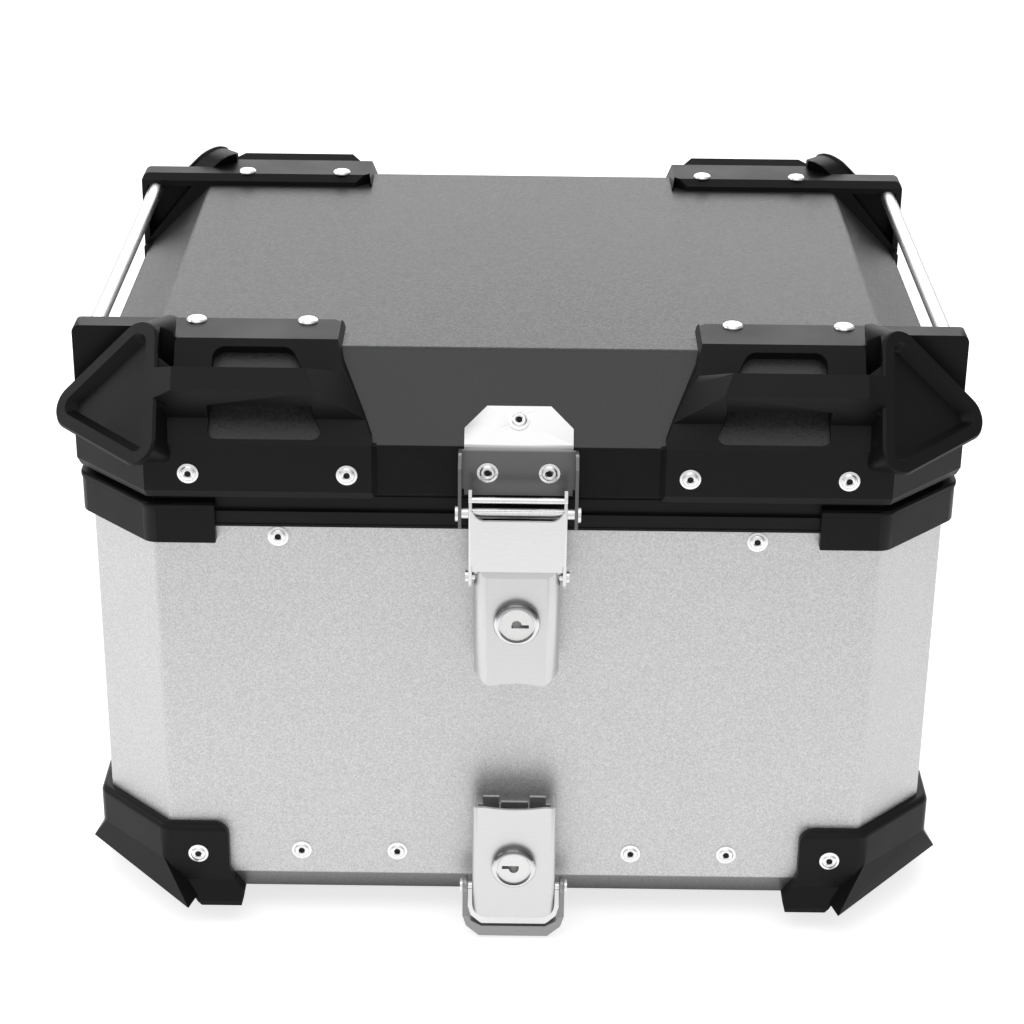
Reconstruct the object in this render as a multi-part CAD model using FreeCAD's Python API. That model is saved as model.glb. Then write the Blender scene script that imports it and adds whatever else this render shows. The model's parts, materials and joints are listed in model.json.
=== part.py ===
"""Aluminium motorcycle top case: riveted sheet tub, hinged lid with strap guards, two keyed draw latches.

Millimetres. X to the right, Y to the rear, Z up. The origin is on the ground under the middle of the case.
"""
import FreeCAD, Part
import math
import os

os.makedirs("parts", exist_ok=True)
V = FreeCAD.Vector

# ---- driving dimensions --------------------------------------------------------------------------
HALF_W = 200.0            # tub, half width
HALF_D = 162.7            # tub, half depth
CORNER = 33.0             # 45-degree corner cut of the tub outline
SHEET = 1.5               # aluminium sheet
TUB_Z = 15.0              # underside of the tub above the ground
TUB_TOP = 218.0           # top edge of the sheet, inside the rim rail
KICK_Z = 24.0             # below this crease the tub's walls lean in a little
KICK_IN = 1.8
EDGE_R = 4.0              # upright edges of the tub
DIAGONAL = HALF_W - HALF_D  # the outline is symmetric about x - y = -DIAGONAL at its front left corner

RAIL_Z = 211.6            # lower edge of the rim rail
LEDGE_Z = 219.0           # outer ledge of the rim rail
TONGUE_Z = 225.0          # top of the rim rail's tongue
RAIL_FOOT = 198.0         # lower edge of the rail's leg inside the tub
RAIL_OFF = 1.5            # rail, tongue and inner leg, measured from the tub outline
TONGUE_OFF = -0.8
RAIL_IN = -3.5
BEAD_OFF = 2.0            # bead along the rail's lower edge
RAIL_BEAD_H = 1.2
SEAL_TOP = 231.6

LID_Z = 228.9             # lower edge of the lid frame
BAND_TOP = 253.4          # where the lid's slopes start
LID_TOP = 287.5           # top panel
LID_OFF = 3.1             # the lid frame stands this far outside the tub outline
TOP_OFF = LID_OFF - (LID_TOP - BAND_TOP)   # 45-degree slopes all round
LID_WALL = 2.0

GUARD = 6.0               # the lid guards stand this far outside the tub outline
GUARD_LOW = 227.3
GUARD_TOP = 293.0
FLANGE_OFF = -25.7        # outer edge of the guards' flat tops
RIM_GUARD = 4.6           # the rim guards stand this far outside the tub outline
FOOT_GUARD = 5.2          # and the foot guards this far
HINGE_Y = 181.2
HINGE_Z = 226.0

RIVET_R = 2.4             # 4.8 mm blind rivets
RIVET_HEAD_R = 4.8
RIVET_HEAD_H = 1.5
MANDREL_R = 1.5

ROD_R = 3.8
ROD_X = 198.8
ROD_Z = 284.9
ROD_END = 121.5          # the rods end in blind sockets in the guards

SLOPE = math.sqrt(0.5)    # sine and cosine of 45 degrees
STEEL = 1.5               # latch sheet
RUN = 0.05                # radial running clearance of every turning pin

MAT_T = 3.0               # floor mat
FOOT_X = 150.0            # rubber feet
FOOT_Y = 95.0
FOOT_SEAT = 7.0           # depth of the well in each foot
PLATE_X0 = 48.0           # backing plates and rear hooks, from x to x, and their top
PLATE_X1 = 112.0
PLATE_TOP = 47.0
HOOK_T = 2.5
PLATE_RIVETS = (56.8, 103.4)
PLATE_RIVET_Z = 36.6

nodes = {}
mandrels = {"body": [], "lid": []}


# ---- helpers -------------------------------------------------------------------------------------
def box(x0, x1, y0, y1, z0, z1):
    return Part.makeBox(x1 - x0, y1 - y0, z1 - z0, V(x0, y0, z0))


def rod(start, direction, radius, length):
    return Part.makeCylinder(radius, length, V(*start), V(*direction))


def prism(points, direction):
    """A closed flat outline of 3-D points, extruded."""
    wire = Part.makePolygon([V(*p) for p in points] + [V(*points[0])])
    return Part.Face(wire).extrude(V(*direction))


def prism_yz(points, x0, x1):
    return prism([(x0, y, z) for y, z in points], (x1 - x0, 0, 0))


def prism_xz(points, y0, y1):
    return prism([(x, y0, z) for x, z in points], (0, y1 - y0, 0))


def rounded_wire(points, radii):
    """A closed flat outline with each corner turned into an arc of its own radius."""
    corners = [V(*p) for p in points]
    edges = []
    ends = []
    for i, corner in enumerate(corners):
        back = (corners[i - 1] - corner).normalize()
        ahead = (corners[(i + 1) % len(corners)] - corner).normalize()
        half = back.getAngle(ahead) / 2
        radius = max(radii[i], 0.01)
        reach = radius / math.tan(half)
        middle = (back + ahead).normalize()
        arc_mid = corner + middle * (radius / math.sin(half) - radius)
        ends.append((corner + back * reach, arc_mid, corner + ahead * reach))
    for i, (first, arc_mid, last) in enumerate(ends):
        following = ends[(i + 1) % len(ends)][0]
        edges.append(Part.Arc(first, arc_mid, last).toShape())
        if (following - last).Length > 1e-6:
            edges.append(Part.makeLine(last, following))
    return Part.Wire(edges)


def rounded_prism(points, radii, direction):
    return Part.Face(rounded_wire(points, radii)).extrude(V(*direction))


def outline(offset):
    """The case's eight-sided plan, grown or shrunk all round by offset."""
    w = HALF_W + offset
    d = HALF_D + offset
    c = CORNER + offset * (2 - math.sqrt(2))
    right = [(w - c, -d), (w, c - d), (w, d - c), (w - c, d)]
    return right + [(-x, y) for x, y in reversed(right)]


def plan_prism(offset, z0, z1):
    return prism([(x, y, z0) for x, y in outline(offset)], (0, 0, z1 - z0))


def plan_ring(outer, inner, z0, z1):
    return plan_prism(outer, z0, z1).cut(plan_prism(inner, z0 - 1, z1 + 1))


def plan_taper(offset0, z0, offset1, z1):
    wires = []
    for offset, z in ((offset0, z0), (offset1, z1)):
        points = [V(x, y, z) for x, y in outline(offset)]
        wires.append(Part.makePolygon(points + [points[0]]))
    return Part.makeLoft(wires, True, True)


def beyond(point, normal):
    """All the room in front of a plane, for cutting."""
    return Part.makeCylinder(400, 200, V(*point), V(*normal))


def block_of(near, far):
    """A solid between two four-cornered faces that need not be flat."""
    a, b, c, d = [V(*p) for p in near]
    e, f, g, h = [V(*p) for p in far]
    triangles = [(a, b, c), (a, c, d), (e, g, f), (e, h, g), (a, f, b), (a, e, f),
                 (b, g, c), (b, f, g), (c, h, d), (c, g, h), (d, e, a), (d, h, e)]
    faces = [Part.Face(Part.makePolygon([p, q, r, p])) for p, q, r in triangles]
    solid = Part.Solid(Part.makeShell(faces))
    if solid.Volume < 0:
        solid.reverse()
    return solid


def mirror_x(shape):
    return shape.mirror(V(0, 0, 0), V(1, 0, 0))


def mirror_y(shape):
    return shape.mirror(V(0, 0, 0), V(0, 1, 0))


def other_side(shape):
    """Reflects about the vertical plane through the front left corner's diagonal."""
    return shape.mirror(V(-DIAGONAL, 0, 0), V(1, -1, 0))


def both_sides(shape):
    return [shape, mirror_x(shape)]


def fuse(*shapes):
    return shapes[0].fuse(list(shapes[1:])).removeSplitter() if len(shapes) > 1 else shapes[0]


def group(shapes):
    return Part.makeCompound(shapes)


def edges_where(shape, test):
    """Edges whose middle point passes the test."""
    chosen = []
    for edge in shape.Edges:
        first, last = edge.ParameterRange
        if test(edge.valueAt((first + last) / 2)):
            chosen.append(edge)
    return chosen


def open_crown(edge):
    """Top line of a domed rivet head: a thin brim, the dome, and the mouth down to the mandrel."""
    brim = V(3.6, 0, edge + 0.25)
    flat = V(2.1, 0, RIVET_HEAD_H)
    mouth = V(MANDREL_R, 0, RIVET_HEAD_H - 0.4)
    return [Part.makeLine(V(RIVET_HEAD_R, 0, edge), brim), Part.Arc(brim, V(3.0, 0, 1.3), flat).toShape(),
            Part.makeLine(flat, mouth)], mouth


def closed_crown(edge):
    """Top line of a low rivet head with a flat middle."""
    flat = V(3.4, 0, RIVET_HEAD_H)
    middle = V(0, 0, RIVET_HEAD_H)
    return [Part.Arc(V(RIVET_HEAD_R, 0, edge), V(4.3, 0, 1.15), flat).toShape(),
            Part.makeLine(flat, middle)], middle


def blind_rivet(seat, axis, length, domed=True):
    """A pop rivet: its head stands on the seat and its shank goes the other way."""
    edge = 0.5 if domed else 0.4
    top, core = open_crown(edge) if domed else closed_crown(edge)
    corners = [core, V(core.x, 0, -length), V(RIVET_R, 0, -length), V(RIVET_R, 0, 0),
               V(RIVET_HEAD_R, 0, 0), V(RIVET_HEAD_R, 0, edge)]
    sides = [Part.makeLine(p, q) for p, q in zip(corners, corners[1:])]
    solid = Part.Face(Part.Wire(Part.__sortEdges__(top + sides))).revolve(V(0, 0, 0), V(0, 0, 1), 360)
    return stand_on(solid, seat, axis)


def mandrel(seat, axis, length):
    """The broken end of the rivet's steel mandrel, a little below the mouth of its head."""
    return stand_on(Part.makeCylinder(MANDREL_R, length + 0.2, V(0, 0, -length)), seat, axis)


def stand_on(solid, seat, axis):
    """Moves a fastener made along Z to its seat."""
    placed = solid.copy()
    placed.Placement = FreeCAD.Placement(V(*seat), FreeCAD.Rotation(V(0, 0, 1), V(*axis)))
    return placed


def drill(name, seat, axis, length, radius=RIVET_R):
    """Opens a hole for a fastener from just above its seat down to its length."""
    out = V(*axis).normalize()
    hole = Part.makeCylinder(radius, length + 2, V(*seat) - out * length, out)
    nodes[name] = nodes[name].cut(hole)


def fasten(names, seats, axis, length, domed=True):
    """Rivets at every seat, through every named piece. Domed ones also get a mandrel."""
    rivets = []
    for seat in seats:
        for name in names:
            drill(name, seat, axis, length)
        rivets.append(blind_rivet(seat, axis, length, domed))
        if domed:
            mandrels["lid" if seat[2] > LID_Z else "body"].append(mandrel(seat, axis, length))
    return rivets


# ---- tub, rim and floor --------------------------------------------------------------------------
def tub_block(offset, bottom, top):
    """The tub's outer form, or the room inside it: upright walls over a short lean-in."""
    walls = plan_prism(offset, KICK_Z, top)
    walls = walls.makeFillet(EDGE_R + offset, edges_where(walls, lambda p: KICK_Z + 1 < p.z < top - 1))
    kick = plan_taper(offset - KICK_IN, bottom, offset, KICK_Z)
    kick = kick.makeFillet(EDGE_R + offset, edges_where(kick, lambda p: bottom + 1 < p.z < KICK_Z - 1))
    return walls.fuse(kick)


def tub():
    return tub_block(0, TUB_Z, TUB_TOP).cut(tub_block(-SHEET, TUB_Z + SHEET, TUB_TOP + 1))


def rim_rail():
    """Extruded rail on the sheet's edge: outer lip, ledge, tongue for the seal, inner leg for rivets."""
    lip = plan_ring(RAIL_OFF, 0, RAIL_Z, LEDGE_Z)
    cap = plan_ring(RAIL_OFF, RAIL_IN, TUB_TOP, LEDGE_Z)
    tongue = plan_ring(TONGUE_OFF, RAIL_IN, LEDGE_Z, TONGUE_Z)
    inner_leg = plan_ring(-SHEET, RAIL_IN, RAIL_FOOT, TUB_TOP)
    bead = plan_ring(BEAD_OFF, RAIL_OFF, RAIL_Z, RAIL_Z + RAIL_BEAD_H)
    return fuse(lip, cap, tongue, inner_leg, bead).cut(nodes["body_shell"])


def lid_seal():
    """Rubber seal on the tongue, with two fine lips on its outer side."""
    strip = plan_ring(TONGUE_OFF, RAIL_IN, TONGUE_Z, SEAL_TOP)
    lips = [plan_ring(TONGUE_OFF + 0.6, TONGUE_OFF, z, z + 0.8) for z in (TONGUE_Z + 0.4, TONGUE_Z + 2.2)]
    return fuse(strip, *lips)


def backing_plate():
    wall = SHEET - HALF_D
    return box(-PLATE_X1, -PLATE_X0, wall, wall + 2, 26, PLATE_TOP)


nodes["body_shell"] = tub()
nodes["rim_rail"] = rim_rail()
nodes["lid_seal"] = lid_seal()
nodes["floor_mat"] = plan_prism(-9.5, TUB_Z + SHEET, TUB_Z + SHEET + MAT_T)
for side, place in (("left", lambda s: s), ("right", mirror_x)):
    nodes["front_backing_plate_" + side] = place(backing_plate())
    nodes["rear_backing_plate_" + side] = mirror_y(place(backing_plate()))

def rubber_foot():
    """Tapered foot with a well for the rivet that holds it."""
    foot = Part.makeCone(11, 12.5, TUB_Z, V(-FOOT_X, -FOOT_Y, 0))
    well = rod((-FOOT_X, -FOOT_Y, -1), (0, 0, 1), 6.5, FOOT_SEAT + 1)
    return foot.cut(well)


feet = [rubber_foot(), mirror_x(rubber_foot())]
nodes["rubber_feet"] = group(feet + [mirror_y(f) for f in feet])


# ---- corner guards of the tub --------------------------------------------------------------------
def corner_point(depth, along, z):
    """A place on the front left corner: depth outside its 45-degree face, along it, and height."""
    reach = HALF_W + HALF_D - CORNER + depth / SLOPE
    x = (-reach - DIAGONAL) / 2 + along * SLOPE
    y = (-reach + DIAGONAL) / 2 - along * SLOPE
    return (x, y, z)


GUARD_INNER_X = 138.3     # inner edge of the foot and rim guards
FOOT_TOP = 52.5
FOOT_LOW = 11.0
SKIRT_OFF = 11.0          # the skirt's lower edge stands this far outside the tub
SKIRT_TOP = 22.0
SKIRT_SIDE = [(-132.5, FOOT_LOW), (-131.2, 16.0)]   # inner end of the skirt, in x and z
FLAP_FRONT = corner_point(7.3, 44.3, 15.1)   # ends of the flap's lip
FLAP_SIDE = corner_point(6.5, -32.2, 21.7)


def corner_flap():
    """Flap bent out across the corner below a crease, longer to the front, with gussets to the wings."""
    crease = [corner_point(FOOT_GUARD - 0.1, along, 34.3) for along in (-23, 23)]
    front = -HALF_D - 3
    side = front - DIAGONAL
    roots = [(side, -121, 33), (-158, front, 33), (-152, front, 16), (side, -119, 22)]
    return block_of(crease + [FLAP_FRONT, FLAP_SIDE], roots)


def under_flap():
    """The room under the flap, where the shoe's lower edge is cut away to follow the flap's lip."""
    down = (V(*FLAP_SIDE) - V(*FLAP_FRONT)).cross(V(1, 1, 0))
    plan = [corner_point(depth, along, 0) for depth, along in ((-40, -36), (40, -36), (40, 34), (-40, 34))]
    return beyond(FLAP_SIDE, tuple(down)).common(prism(plan, (0, 0, 60)))


def foot_skirt():
    """Flare along the foot of the front wing."""
    wing = -HALF_D - FOOT_GUARD
    edge = -HALF_D - SKIRT_OFF
    profile = [(wing, SKIRT_TOP), (edge, 13.2), (edge, FOOT_LOW), (-HALF_D, FOOT_LOW), (-HALF_D, SKIRT_TOP)]
    flare = prism_yz(profile, -162, -130)
    face = [(-160.7, SKIRT_TOP), (-154.1, 13.3), (-152, FOOT_LOW)] + SKIRT_SIDE + [(-135.4, SKIRT_TOP)]
    return flare.common(prism_xz(face, -200, -100))


def foot_guard():
    """Corner shoe: two rounded wings, a flared skirt under each, and the flap across the corner."""
    ring = plan_prism(FOOT_GUARD, FOOT_LOW, FOOT_TOP)
    ring = ring.makeFillet(9, edges_where(ring, lambda p: FOOT_LOW + 1 < p.z < FOOT_TOP - 1))
    ring = ring.makeFillet(3.2, edges_where(ring, lambda p: p.z > FOOT_TOP - 0.01))
    inner = -GUARD_INNER_X
    wing = [(-300, FOOT_LOW)] + SKIRT_SIDE + [(inner, 26), (inner, FOOT_TOP), (-300, FOOT_TOP)]
    front = rounded_prism([(x, -300, z) for x, z in wing], [0, 0, 0.8, 10, 7.5, 0], (0, 240, 0))
    shoe = ring.common(front).common(other_side(front)).cut(under_flap())
    shoe = shoe.fuse([foot_skirt(), other_side(foot_skirt()), corner_flap()])
    return shoe.cut(plan_prism(0, 0, 300)).removeSplitter()


def rim_guard():
    """Corner cap over the rim rail, with a small raised lip along its top."""
    bottom, top = 204, 224
    outer = plan_prism(RIM_GUARD, bottom, top)
    outer = outer.makeFillet(9, edges_where(outer, lambda p: bottom < p.z < top))
    lip = plan_prism(RIM_GUARD + 0.5, top - 3, top - 0.8)
    lip = lip.makeFillet(9, edges_where(lip, lambda p: top - 3 < p.z < top - 0.8))
    zone = box(-300, -GUARD_INNER_X, -300, -GUARD_INNER_X + DIAGONAL, 200, 230)
    inner = fuse(plan_prism(0, 200, RAIL_Z), plan_prism(BEAD_OFF, RAIL_Z, RAIL_Z + RAIL_BEAD_H),
                 plan_prism(RAIL_OFF, RAIL_Z, LEDGE_Z), plan_prism(TONGUE_OFF, LEDGE_Z, 230))
    return outer.fuse(lip).common(zone).cut(inner).removeSplitter()


CORNERS = (("front_left", lambda s: s), ("front_right", mirror_x),
           ("rear_left", mirror_y), ("rear_right", lambda s: mirror_x(mirror_y(s))))


# ---- lid -----------------------------------------------------------------------------------------
def lid_solid():
    return plan_taper(LID_OFF, BAND_TOP, TOP_OFF, LID_TOP)


def lid_shell():
    outer = lid_solid()
    outer = outer.makeFillet(3, edges_where(outer, lambda p: p.z > LID_TOP - 0.01))
    step = LID_WALL * math.tan(math.radians(22.5))
    inner = plan_taper(LID_OFF - LID_WALL * math.sqrt(2), BAND_TOP, TOP_OFF - step, LID_TOP - LID_WALL)
    return outer.cut(inner)


def frame_bead():
    return plan_ring(LID_OFF + 0.5, LID_OFF, BAND_TOP - 1.3, BAND_TOP)


def lid_frame():
    wall = plan_ring(LID_OFF, 0.1, LID_Z, BAND_TOP)
    roof = plan_ring(0.1, -8, 232, 235)
    lip = plan_ring(-5.2, -8, LID_Z, 232)
    return fuse(wall, roof, lip, frame_bead())


BAND_X = -64.1            # inner end of the guards' band, and the round of its lower corner
BAND_ROUND = 3.6
WING_X = -206.4           # outer face of the wing that holds the tie rod
WING_Y0 = -123.0
WING_Y1 = -107.0
WING_WALL = 3.0


def on_slope(x, up, out):
    """A place over the front slope of the lid: how far up the slope, and how far out from it."""
    return (x, -HALF_D - LID_OFF + (up - out) * SLOPE, BAND_TOP + (up + out) * SLOPE)


def rounded_box(x0, x1, y0, y1, z0, z1, radius, along):
    """A box with four edges rounded: the ones that run along the named axis."""
    solid = box(x0, x1, y0, y1, z0, z1)
    index = "xyz".index(along)
    middle = ((x0 + x1) / 2, (y0 + y1) / 2, (z0 + z1) / 2)[index]
    edges = []
    for edge in solid.Edges:
        centre = edge.CenterOfMass
        if abs((centre.x, centre.y, centre.z)[index] - middle) < 0.01:
            edges.append(edge)
    return solid.makeFillet(radius, edges)


HORN_LEAN = math.radians(36)
HORN_FACE = 351.8         # distance of the horn's face from the origin
HORN_CORNERS = [(-37.0, 56.9), (52.2, 52.9), (3.3, 127.7)]   # along and up in the face
HORN_RADII = [11.5, 10.3, 12.5]
HORN_RIM = 6.3
HORN_SINK = 5.0
HORN_END = -157.0         # the crown and the neck stop here
HORN_ALONG = V(SLOPE, -SLOPE, 0)
HORN_UP = V(SLOPE * math.sin(HORN_LEAN), SLOPE * math.sin(HORN_LEAN), math.cos(HORN_LEAN))
HORN_OUT = V(-SLOPE * math.cos(HORN_LEAN), -SLOPE * math.cos(HORN_LEAN), math.sin(HORN_LEAN))
HORN_ORIGIN = V(-DIAGONAL / 2, DIAGONAL / 2, 0) + HORN_OUT * HORN_FACE


def horn_wire(inset, depth):
    """The horn's rounded triangle, inset within its plane and sunk below it."""
    corners = [HORN_ORIGIN + HORN_ALONG * a + HORN_UP * u for a, u in HORN_CORNERS]
    sides = [(corners[i - 1] - corners[i - 2]).Length for i in range(3)]
    centre = (corners[0] * sides[0] + corners[1] * sides[1] + corners[2] * sides[2]) * (1 / sum(sides))
    half_sum = sum(sides) / 2
    area = math.sqrt(half_sum * (half_sum - sides[0]) * (half_sum - sides[1]) * (half_sum - sides[2]))
    scale = 1 - inset * half_sum / area
    points = [centre + (corner - centre) * scale - HORN_OUT * depth for corner in corners]
    radii = [max(r - inset, 2.5) for r in HORN_RADII]
    return rounded_wire([tuple(p) for p in points], radii)


def horn():
    """Leaning triangular bumper at the lid corner: soft front edge, drafted flanks, level crown."""
    front = Part.makeLoft([horn_wire(1.0, 0), horn_wire(0, 1.2)], True, True)
    flank = Part.makeLoft([horn_wire(0, 1.2), horn_wire(8.5, 22)], True, True)
    inward = V(SLOPE, SLOPE, 0)
    crown = Part.Face(horn_wire(1.0, 1.2)).extrude(inward * 15)
    crown = crown.common(box(-300, HORN_END, -300, 0, 272, 310))
    neck = Part.Face(horn_wire(2.0, 1.2)).extrude(inward * 30)
    neck = neck.common(box(-300, HORN_END, -300, 0, 272, GUARD_TOP))
    return front.fuse([flank, crown, neck])


def horn_recess():
    return Part.makeLoft([horn_wire(HORN_RIM, -0.01), horn_wire(HORN_RIM + 3.0, HORN_SINK)], True, True)


def strap_rib():
    """Raised rib over the strap window, flush with the horn at one end and ramped down at the other."""
    top = (-162.6, 289.0)
    brow = (-171.0, 281.0)
    toe = (-160.9, 263.6)
    heel = (-146.7, 281.0)
    rib = prism_yz([top, brow, toe, heel], -175, -60)
    ramp = beyond((-95.4, -162.6, 289.2), (226.8, -103.1, 224.5))
    left = beyond(tuple(HORN_ORIGIN), tuple(HORN_OUT))
    return rib.cut([ramp, left])


def strap_window():
    """The opening a strap is threaded through. It runs on under the rib."""
    under_rib = 12.8
    corners = [(-140.3, 1), (-87, 1), (-93, 13), (-98.9, 35), (-103.7, 44.5), (-139.5, 44.5)]
    outline_on_slope = [on_slope(x, up, -5) for x, up in corners]
    depth = (under_rib + 5) * SLOPE
    return rounded_prism(outline_on_slope, [4, 4, 10, 10, 6, 6], (0, -depth, depth))


def rod_wing():
    """Raised end of the guard with a blind socket for the tie rod. It is hollow on the inner side."""
    corners = [(WING_X, 250), (WING_X, GUARD_TOP), (-120, GUARD_TOP), (-120, 250)]
    return rounded_prism([(x, WING_Y0, z) for x, z in corners], [0, 3.5, 0, 0], (0, WING_Y1 - WING_Y0, 0))


def wing_hollow():
    return box(WING_X + WING_WALL, -176, WING_Y0 + WING_WALL, 0, 240, GUARD_TOP - 2 * WING_WALL)


def guard_cover():
    """The guard's wall before anything is added: band, slopes and flat top, cut to its outline."""
    chamfer = 1.7
    chamfer_top = 231
    fold = 254
    band = plan_prism(GUARD, chamfer_top, fold)
    band = band.fuse(plan_taper(GUARD - chamfer, GUARD_LOW, GUARD, chamfer_top))
    cover = band.fuse(plan_taper(GUARD, fold, FLANGE_OFF, GUARD_TOP))
    front = [(BAND_X, 220), (BAND_X, fold), (-66.3, fold + 0.2), (-66.3, 257), (-69.7, 264),
             (-80.1, 282.8), (-84.5, 300), (-300, 300), (-300, 220)]
    band_zone = box(-300, 0, -300, -GUARD_INNER_X + DIAGONAL, 220, fold + 1)
    slope_zone = box(-300, 0, -300, WING_Y1, 250, 300)
    cover = cover.common(prism_xz(front, -300, 0)).common(band_zone.fuse(slope_zone))
    end = BAND_X + 0.1
    bevel = prism([(end, -170, 220), (end - 3.7, -170, 220), (end, -166, 220)], (0, 0, 34))
    round_x = BAND_X - BAND_ROUND
    round_z = GUARD_LOW + BAND_ROUND
    below_round = box(round_x, -60, -175, -150, 220, round_z)
    below_round = below_round.cut(rod((round_x, -180, round_z), (0, 1, 0), BAND_ROUND, 60))
    return cover.cut([bevel, below_round])


def lid_guard():
    """Moulded guard of one lid corner: cover, strap window under its rib, rod wing, and horn."""
    behind = [(-111.4, GUARD_TOP), (-106, 289.3), (-106, 294), (-111.4, 294)]
    rear_bevel = prism_yz(behind, WING_X - 1, -60)
    inner_corner = prism([(-91, -106, 280), (-83, -114, 280), (-82, -106, 280)], (0, 0, 20))
    gap_beside_horn = box(-163, -156.8, -151.5, -138.5, 262, 300)
    inside = fuse(plan_prism(LID_OFF, 0, BAND_TOP), lid_solid())
    rod_socket = rod((-ROD_X, -ROD_END, ROD_Z), (0, 1, 0), ROD_R, 30)
    guard = guard_cover().fuse([rod_wing().cut(wing_hollow()), strap_rib(), horn()])
    guard = guard.cut([rear_bevel, inner_corner, gap_beside_horn, strap_window(), horn_recess()])
    return guard.cut([inside, frame_bead(), rod_socket]).removeSplitter()


nodes["lid_shell"] = lid_shell()
nodes["lid_frame"] = lid_frame()
shoe, cap, guard = foot_guard(), rim_guard(), lid_guard()
for name, place in CORNERS:
    nodes["foot_guard_" + name] = place(shoe)
    nodes["rim_guard_" + name] = place(cap)
    nodes["lid_guard_" + name] = place(guard)
tie_rod = rod((-ROD_X, -ROD_END, ROD_Z), (0, 1, 0), ROD_R, 2 * ROD_END)
nodes["tie_rod_left"] = tie_rod
nodes["tie_rod_right"] = mirror_x(tie_rod)


# ---- rear hinge ----------------------------------------------------------------------------------
HINGE_HALF = 56.0
KNUCKLE_R = 5.0
HINGE_PIN_R = 2.5
KNUCKLES = 7
KNUCKLE_GAP = 0.3
HINGE_T = 2.5             # leaf plates
HINGE_RIVETS = (-44, 0, 44)


def knuckle_spans(first):
    """The x ranges of every second knuckle, with a gap between neighbours."""
    pitch = 2 * HINGE_HALF / KNUCKLES
    spans = []
    for i in range(first, KNUCKLES, 2):
        low = -HINGE_HALF + i * pitch + (KNUCKLE_GAP / 2 if i else 0)
        high = -HINGE_HALF + (i + 1) * pitch - (KNUCKLE_GAP / 2 if i < KNUCKLES - 1 else 0)
        spans.append((low, high))
    return spans


def hinge_leaf(plate, web, spans, bore):
    """A plate with its knuckles, each one carried by a web."""
    solid = prism_yz(plate, -HINGE_HALF, HINGE_HALF)
    for x0, x1 in spans:
        knuckle = rod((x0, HINGE_Y, HINGE_Z), (1, 0, 0), KNUCKLE_R, x1 - x0)
        solid = solid.fuse([prism_yz(web, x0, x1), knuckle])
    hole = rod((-HINGE_HALF - 1, HINGE_Y, HINGE_Z), (1, 0, 0), bore, 2 * HINGE_HALF + 2)
    return solid.removeSplitter().cut(hole)


body_face = HALF_D + HINGE_T
body_plate = [(HALF_D, 176), (body_face, 176), (body_face, RAIL_Z - 0.1), (HALF_D, RAIL_Z - 0.1)]
body_web = [(HALF_D + 1, 198), (HINGE_Y + 3.5, 222.5), (HINGE_Y - 3.5, 229.5), (HALF_D + 2.6, 211)]
lid_face = HALF_D + LID_OFF
lid_plate = [(lid_face, 231), (lid_face + HINGE_T, 231), (lid_face + HINGE_T, 251), (lid_face, 251)]
lid_web = [(lid_face + 1, 240), (lid_face + 1, 232), (HINGE_Y - 3.5, 222.5), (HINGE_Y + 3.5, 229.5)]
nodes["hinge_body_leaf"] = hinge_leaf(body_plate, body_web, knuckle_spans(0), HINGE_PIN_R)
nodes["hinge_lid_leaf"] = hinge_leaf(lid_plate, lid_web, knuckle_spans(1), HINGE_PIN_R + RUN)
nodes["hinge_pin"] = rod((-HINGE_HALF, HINGE_Y, HINGE_Z), (1, 0, 0), HINGE_PIN_R, 2 * HINGE_HALF)


# ---- rear hooks that hold on to a luggage plate --------------------------------------------------
def rear_hook():
    """Angle plate whose foot points forwards under the luggage plate's rear edge."""
    face = HALF_D + HOOK_T
    toe = 148
    low = 2.5
    profile = [(HALF_D, PLATE_TOP), (face, PLATE_TOP), (face, low), (toe, low), (toe, low + HOOK_T),
               (HALF_D, low + HOOK_T)]
    return prism_yz(profile, -PLATE_X1, -PLATE_X0)


nodes["rear_hook_left"] = rear_hook()
nodes["rear_hook_right"] = mirror_x(rear_hook())


# ---- keyed locks ---------------------------------------------------------------------------------
BEZEL_R = 10.9
BEZEL_H = 4.5
PLUG_R = 7.85
BARREL_R = 9.2


def lock_housing(face_y, z):
    """Domed bezel on the lever's face, with the barrel behind it. The middle is open for the plug."""
    bezel = rod((0, face_y, z), (0, -1, 0), BEZEL_R, BEZEL_H)
    bezel = bezel.makeFillet(2.6, edges_where(bezel, lambda p: p.y < face_y - BEZEL_H + 0.1))
    barrel = rod((0, face_y, z), (0, 1, 0), BARREL_R, 11)
    bore = rod((0, face_y - 5, z), (0, 1, 0), PLUG_R + RUN, 17)
    step = rod((0, face_y - BEZEL_H + 1.6, z), (0, -1, 0), PLUG_R + 0.7, 2)
    return bezel.fuse(barrel).cut([bore, step])


def lock_nut(back_y, z):
    """Round nut that holds the barrel on the lever's inner face."""
    nut = rod((0, back_y, z), (0, 1, 0), 12.5, 3)
    return nut.cut(rod((0, back_y - 1, z), (0, 1, 0), BARREL_R, 5))


def lock_plug(face_y, z, turned):
    """Plug with its keyway and the cam on its back end. turned is -1 where the plug sits upside down."""
    front = face_y - 3.3
    back = face_y + 11.2
    plug = rod((0, front, z), (0, 1, 0), PLUG_R, back - front)
    slot = box(-2.4, 5.6, front - 1, front + 7, z - 1.6, z + 0.1)
    crown = rod((0, front - 1, z), (0, 1, 0), 2.3, 8)
    crown = crown.common(box(-3, 3, front - 2, front + 8, z - 1, z + 3))
    keyway = slot.fuse(crown)
    if turned < 0:
        keyway = keyway.rotate(V(0, 0, z), V(0, 1, 0), 180)
    cam = box(-3, 3, back, back + 1.5, z - 10.5, z + 4)
    return fuse(plug.cut(keyway), cam)


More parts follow.
